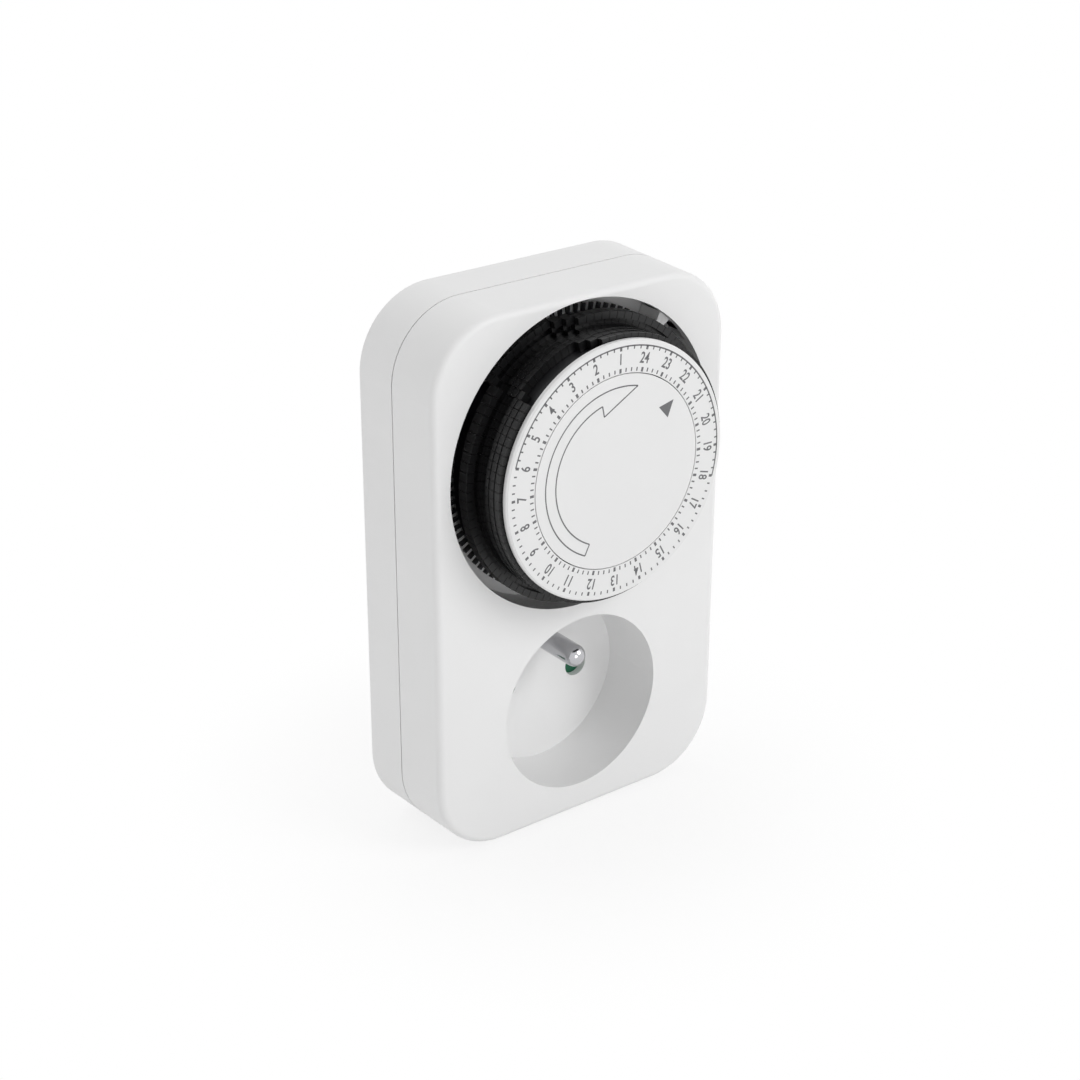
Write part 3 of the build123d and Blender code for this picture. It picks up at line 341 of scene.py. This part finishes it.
def wound(name, colour, wire_mm):
    """Enamelled wire in close turns around the dial's axis."""
    material, shader, place = start_material(name, WIRE_ROUGHNESS, metallic=WIRE_METALLIC)
    shader.inputs["Base Color"].default_value = linear(colour)
    centred = add_node(
        material, "Mapping", inputs={"Vector": place, "Location": (-DIAL_X, 0.0, -DIAL_Z)}
    )
    turns = add_node(
        material,
        "TexWave",
        {"wave_type": "RINGS", "rings_direction": "Y"},
        {"Vector": centred.outputs["Vector"], "Scale": rings_for(wire_mm)},
    )
    bump = add_node(
        material,
        "Bump",
        inputs={
            "Height": turns.outputs["Fac"],
            "Strength": TURN_STRENGTH,
            "Distance": TURN_DEPTH_MM * MM,
        },
    )
    link(material, bump.outputs["Normal"], shader, "Normal")
    return material


def sintered(name, colour, pore, pore_mm):
    """A pressed ceramic magnet: dark, matt and finely pored."""
    material, shader, place = start_material(name, FERRITE_ROUGHNESS, ior=FERRITE_IOR)
    pores = add_node(
        material, "TexVoronoi", inputs={"Vector": place, "Scale": 1 / (pore_mm * MM)}
    )
    mix = add_node(
        material,
        "Mix",
        {"data_type": "RGBA"},
        {"Factor": pores.outputs["Distance"], "A": linear(pore), "B": linear(colour)},
    )
    link(material, mix.outputs["Result"], shader, "Base Color")
    return material


coil_copper = wound("coil_copper_enamelled", "#B4683A", WIRE_MM)
rotor_ferrite = sintered("rotor_ferrite_sintered", "#343436", "#1E1E20", PORE_MM)
print("coil turns drawn at", WIRE_MM, "mm")

# %% [markdown]
# ## Each solid gets its finish
#
# A solid keeps its shape and only changes its material, so this cell is a list of which
# piece is made of what. The tappets are many and all alike, so they share one line.

# %% Finishes of the solids
FINISHES = {
    case_white: ["front_shell", "rear_shell"],
    dial_white: ["dial_ring", "centre_cap"],
    drum_black: ["program_drum"],
    tappet_black: [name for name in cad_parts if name.startswith("tappets_")],
    lever_black: ["switch_lever"],
    shoe_white: ["feeler_shoe"],
    gear_natural: ["motor_pinion", "reduction_wheel", "drive_pinion"],
    shutter_green: ["shutter"],
    pin_nickel: ["earth_pin", "neutral_pin", "live_pin"],
    shaft_steel: ["motor_shaft", "gear_arbor", "lever_pin"],
    strip_brass: [
        "neutral_sleeve",
        "live_sleeve",
        "earth_sleeve",
        "earth_strap",
        "live_strip",
        "load_strip",
        "fixed_contact",
    ],
    blade_bronze: ["contact_blade"],
    zinc_steel: ["case_screws", "motor_screws", "motor_can", "motor_cover", "shutter_clip"],
    coil_copper: ["motor_coil"],
    rotor_ferrite: ["motor_rotor"],
}

for material, names in FINISHES.items():
    for name in names:
        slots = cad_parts[name].data.materials
        slots.clear()
        slots.append(material)
print("finished solids:", sum(len(names) for names in FINISHES.values()))

# %% [markdown]
# ## Printing ink
#
# The scale is pad-printed: a silicone pad lays a film of grey ink, some hundredths of a
# millimetre thick, on the white dial. Ink is modelled as thin solid strokes, sunk in the
# plastic by half their thickness, so that it can be seen from any side and never flickers.

# %% Ink and its strokes
INK_MM = 0.02
INK_GRAIN_MM = 0.3
INK_ROUGHNESS = 0.55
INK_IOR = 1.48
ARC_STEP = 2.5
LEAST_ARC_STEPS = 6
WELD_MM = 0.001

ink_grey, ink_shader, ink_place = start_material(
    "ink_pad_printed_grey", INK_ROUGHNESS, ior=INK_IOR
)
ink_cover = add_node(
    ink_grey,
    "TexNoise",
    inputs={"Vector": ink_place, "Scale": 1 / (INK_GRAIN_MM * MM), "Detail": 2.0},
)
ink_mix = add_node(
    ink_grey,
    "Mix",
    {"data_type": "RGBA"},
    {"Factor": ink_cover.outputs["Fac"], "A": linear("#5E5E60"), "B": linear("#6E6E70")},
)
link(ink_grey, ink_mix.outputs["Result"], ink_shader, "Base Color")


def ink_bar(start, end, width_mm):
    """A straight stroke of ink between two points on the dial's face."""
    along = end - start
    bpy.ops.mesh.primitive_cube_add(size=1, location=(start + end) / 2)
    bar = bpy.context.object
    bar.scale = (width_mm * MM, INK_MM * MM, along.length)
    bar.rotation_euler = (0, atan2(along.x, along.z), 0)
    bpy.ops.object.transform_apply(location=True, rotation=True, scale=True)
    return bar


def ink_arc(inner_mm, outer_mm, start, end):
    """A curved stroke about the dial's axis: a small end face, spun from start to end."""
    middle_mm = (inner_mm + outer_mm) / 2
    bpy.ops.mesh.primitive_plane_add(size=1, location=on_dial(middle_mm, start))
    arc = bpy.context.object
    arc.scale = ((outer_mm - inner_mm) * MM, INK_MM * MM, 1)
    arc.rotation_euler = (0, radians(start - 90), 0)
    bpy.ops.object.transform_apply(location=True, rotation=True, scale=True)
    bpy.ops.object.mode_set(mode="EDIT")
    bpy.ops.mesh.select_all(action="SELECT")
    bpy.ops.mesh.spin(
        steps=max(LEAST_ARC_STEPS, int(abs(end - start) / ARC_STEP)),
        angle=-radians(end - start),
        center=(DIAL_X, DIAL_FRONT, DIAL_Z),
        axis=(0, 1, 0),
    )
    bpy.ops.mesh.select_all(action="SELECT")
    bpy.ops.mesh.remove_doubles(threshold=WELD_MM * MM)
    bpy.ops.mesh.normals_make_consistent(inside=False)
    bpy.ops.object.mode_set(mode="OBJECT")
    return arc


def joined(name, strokes, body):
    """Join the strokes into one inked piece that rides on a body."""
    only(*strokes)
    bpy.ops.object.join()
    print_film = bpy.context.object
    print_film.name = name
    print_film.data.materials.clear()
    print_film.data.materials.append(ink_grey)
    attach(print_film, body)
    print(name, "faces:", len(print_film.data.polygons))


print("ink strokes are", INK_MM, "mm thick")


# %% [markdown]
# ## The 24-hour scale on the turning ring
#
# The hours run against the clock, because the ring turns and the mark stands still. Each
# hour has its number, a bold tick and three light ticks, in a row outside the numbers
# and a row inside them. A ring line joins the outer ticks of one half of the day, from
# 18 through 24 to 6, as such dials do.

# %% Ticks and ring line
HOURS = 24
TICKS_AN_HOUR = 4
HOUR_24_ANGLE = 15.8
HOUR_STEP = 360 / HOURS
QUARTER_OF_DAY = HOURS / 4 * HOUR_STEP
RING_LINE_MM = (25.85, 26.15)
OUTER_TICKS_MM = (25.3, 26.0)
INNER_TICKS_MM = (20.8, 21.6)
TICK_MM = 0.3
BOLD_TICK_MM = 0.55
BOLD_TICK_REACH_MM = 0.12

scale_strokes = [
    ink_arc(*RING_LINE_MM, HOUR_24_ANGLE - QUARTER_OF_DAY, HOUR_24_ANGLE + QUARTER_OF_DAY)
]
for tick in range(HOURS * TICKS_AN_HOUR):
    angle = HOUR_24_ANGLE - tick * HOUR_STEP / TICKS_AN_HOUR
    bold = tick % TICKS_AN_HOUR == 0
    for inner, outer in (OUTER_TICKS_MM, INNER_TICKS_MM):
        reach = BOLD_TICK_REACH_MM if bold else 0.0
        thickness = BOLD_TICK_MM if bold else TICK_MM
        scale_strokes.append(
            ink_bar(on_dial(inner - reach, angle), on_dial(outer, angle), thickness)
        )
print("strokes on the ring:", len(scale_strokes))

# %% [markdown]
# The numbers are narrow figures that stand on the ring with their tops outwards. A text
# is made a mesh first, centred on itself, and then scaled to the figure's real height
# and turned to its hour.

# %% Numbers
NUMBER_RADIUS_MM = 23.55
FIGURE_HEIGHT_MM = 2.3
FIGURE_NARROWNESS = 0.74
FIGURE_BOLDNESS = 0.018
FIGURE_CURVE_STEPS = 4

for hour in range(1, HOURS + 1):
    angle = HOUR_24_ANGLE - hour * HOUR_STEP
    bpy.ops.object.text_add()
    number = bpy.context.object
    number.data.body = str(hour)
    number.data.resolution_u = FIGURE_CURVE_STEPS
    number.data.offset = FIGURE_BOLDNESS
    number.data.extrude = INK_MM * MM / 2
    bpy.ops.object.convert(target="MESH")
    number = bpy.context.object
    bpy.ops.object.origin_set(type="ORIGIN_GEOMETRY", center="BOUNDS")
    enlarge = FIGURE_HEIGHT_MM * MM / number.dimensions.y
    number.scale = (enlarge * FIGURE_NARROWNESS, enlarge, 1)
    number.location = on_dial(NUMBER_RADIUS_MM, angle)
    number.rotation_euler = (radians(90), radians(angle), 0)
    bpy.ops.object.transform_apply(location=True, rotation=True, scale=True)
    scale_strokes.append(number)

joined("dial_scale_print", scale_strokes, "program_dial")

# %% [markdown]
# ## The arrow and the mark on the fixed disc
#
# The disc in the middle doesn't turn. An outlined arrow on it shows which way to turn the
# ring, and a filled triangle points at the present time. The arrow's outline is two arcs
# and three straight strokes.

# %% Arrow and triangle
ARROW_OUTER_MM = 17.85
ARROW_INNER_MM = 15.35
ARROW_TAIL = -153.5
ARROW_NOTCH = -15.2
ARROW_TIP = 15.6
BARB_RADIUS_MM = 13.0
BARB_SETBACK = 0.6
LINE_MM = 0.28
MARK_ANGLE = 49.1
MARK_MIDDLE_MM = 16.35
MARK_SIZE_MM = 2.05
MARK_STRETCH = 1.1


def arrow_arc(radius_mm, end):
    """One of the arrow's two curved strokes, from the tail on."""
    return ink_arc(radius_mm - LINE_MM / 2, radius_mm + LINE_MM / 2, ARROW_TAIL, end)


barb = on_dial(BARB_RADIUS_MM, ARROW_NOTCH - BARB_SETBACK)
disc_strokes = [
    arrow_arc(ARROW_OUTER_MM, ARROW_TIP),
    arrow_arc(ARROW_INNER_MM, ARROW_NOTCH),
    ink_bar(on_dial(ARROW_INNER_MM, ARROW_TAIL), on_dial(ARROW_OUTER_MM, ARROW_TAIL), LINE_MM),
    ink_bar(on_dial(ARROW_INNER_MM, ARROW_NOTCH), barb, LINE_MM),
    ink_bar(barb, on_dial(ARROW_OUTER_MM, ARROW_TIP), LINE_MM),
]
bpy.ops.mesh.primitive_cylinder_add(
    vertices=3,
    radius=MARK_SIZE_MM * MM,
    depth=INK_MM * MM,
    location=on_dial(MARK_MIDDLE_MM, MARK_ANGLE),
)
mark = bpy.context.object
mark.scale = (1, MARK_STRETCH, 1)
mark.rotation_euler = (radians(90), radians(MARK_ANGLE), 0)
bpy.ops.object.transform_apply(location=True, rotation=True, scale=True)
disc_strokes.append(mark)
joined("disc_arrow_print", disc_strokes, "housing")

# %% [markdown]
# ## Floor and light
#
# The timer stands on a pale floor in a white studio, whose bright wall behind it lights
# its sides and top. A large lamp from the upper right gives the faces their different
# tones, and a smaller one from the left reaches into the dial's recess. Away from the
# timer the floor fades to plain white.

# %% Floor
FLOOR_LEVEL = solid_box[0][2]
FLOOR_SIZE = 6
FLOOR_MIDDLE_Y = -30 * MM
FLOOR_ROUGHNESS = 0.8
FADE_START = 30 * MM
FADE_END = 90 * MM
LEAST_WHITE = 0.8

bpy.ops.mesh.primitive_plane_add(size=FLOOR_SIZE, location=(0, FLOOR_MIDDLE_Y, FLOOR_LEVEL))
floor = bpy.context.object
floor.name = "floor"
floor_paint = bpy.data.materials.new("floor_paper_white")
floor_paint.use_nodes = True
paper = floor_paint.node_tree.nodes["Principled BSDF"]
paper.inputs["Base Color"].default_value = linear("#F4F4F4")
paper.inputs["Roughness"].default_value = FLOOR_ROUGHNESS
floor.data.materials.append(floor_paint)
floor_ray = add_node(floor_paint, "LightPath")
seen_or_mirrored = add_node(
    floor_paint,
    "Math",
    {"operation": "MAXIMUM"},
    {0: floor_ray.outputs["Is Camera Ray"], 1: floor_ray.outputs["Is Glossy Ray"]},
)
floor_place = add_node(floor_paint, "TexCoord")
distance = add_node(
    floor_paint, "VectorMath", {"operation": "LENGTH"}, {0: floor_place.outputs["Object"]}
)
fade = add_node(
    floor_paint,
    "MapRange",
    {"interpolation_type": "SMOOTHSTEP"},
    {
        "Value": distance.outputs["Value"],
        "From Min": FADE_START,
        "From Max": FADE_END,
        "To Min": LEAST_WHITE,
    },
)
share = add_node(
    floor_paint,
    "Math",
    {"operation": "MULTIPLY"},
    {0: seen_or_mirrored.outputs[0], 1: fade.outputs["Result"]},
)
glow = add_node(floor_paint, "Emission", inputs={"Strength": 1.0})
mixed = add_node(
    floor_paint,
    "MixShader",
    inputs={0: share.outputs[0], 1: paper.outputs[0], 2: glow.outputs[0]},
)
floor_output = floor_paint.node_tree.nodes["Material Output"]
link(floor_paint, mixed.outputs[0], floor_output, "Surface")
print("floor at z =", round(FLOOR_LEVEL / MM, 2), "mm")

# %% [markdown]
# The world is a plain white sky, bright behind the timer and dim on the user's side, to
# leave room for the lamps. What the camera sees of it, whether straight, mirrored or
# through something clear, is pure white.

# %% World and lamps
SKY_BEHIND = 1.15
SKY_IN_FRONT = 0.3
SKY_BLEND = 0.25

world = bpy.data.worlds.new("studio_sky")
bpy.context.scene.world = world
world.use_nodes = True
sky = world.node_tree.nodes["Background"]
sky_ray = add_node(world, "LightPath")
seen_or_shone = add_node(
    world,
    "Math",
    {"operation": "MAXIMUM"},
    {0: sky_ray.outputs["Is Camera Ray"], 1: sky_ray.outputs["Is Glossy Ray"]},
)
seen_sky = add_node(
    world,
    "Math",
    {"operation": "MAXIMUM"},
    {0: seen_or_shone.outputs[0], 1: sky_ray.outputs["Is Transmission Ray"]},
)
compass = add_node(world, "TexCoord")
direction = add_node(world, "SeparateXYZ", inputs={"Vector": compass.outputs["Generated"]})
from_behind = add_node(
    world,
    "MapRange",
    {"interpolation_type": "SMOOTHSTEP"},
    {
        "Value": direction.outputs["Y"],
        "From Min": -SKY_BLEND,
        "From Max": SKY_BLEND,
        "To Min": SKY_IN_FRONT,
        "To Max": SKY_BEHIND,
    },
)
level = add_node(
    world,
    "MapRange",
    inputs={"Value": seen_sky.outputs[0], "To Min": from_behind.outputs[0], "To Max": 1.0},
)
sky.inputs["Color"].default_value = (1, 1, 1, 1)
link(world, level.outputs["Result"], sky, "Strength")


def softbox(name, place, width, watts):
    """A round area lamp that is turned to the timer."""
    place = Vector(place)
    bpy.ops.object.light_add(type="AREA", location=place)
    lamp = bpy.context.object
    lamp.name = name
    lamp.data.shape = "DISK"
    lamp.data.size = width
    lamp.data.energy = watts
    lamp.rotation_mode = "QUATERNION"
    lamp.rotation_quaternion = (-place).to_track_quat("-Z", "Y")
    print(name, "gives", watts, "W")


softbox("key_softbox", place=(0.5, -0.95, 0.75), width=0.7, watts=6.7)
softbox("fill_softbox", place=(-0.35, -1.15, 0.2), width=0.5, watts=2.2)

bpy.context.scene.view_settings.view_transform = "Standard"
print("sky", SKY_BEHIND, "behind and", SKY_IN_FRONT, "in front")
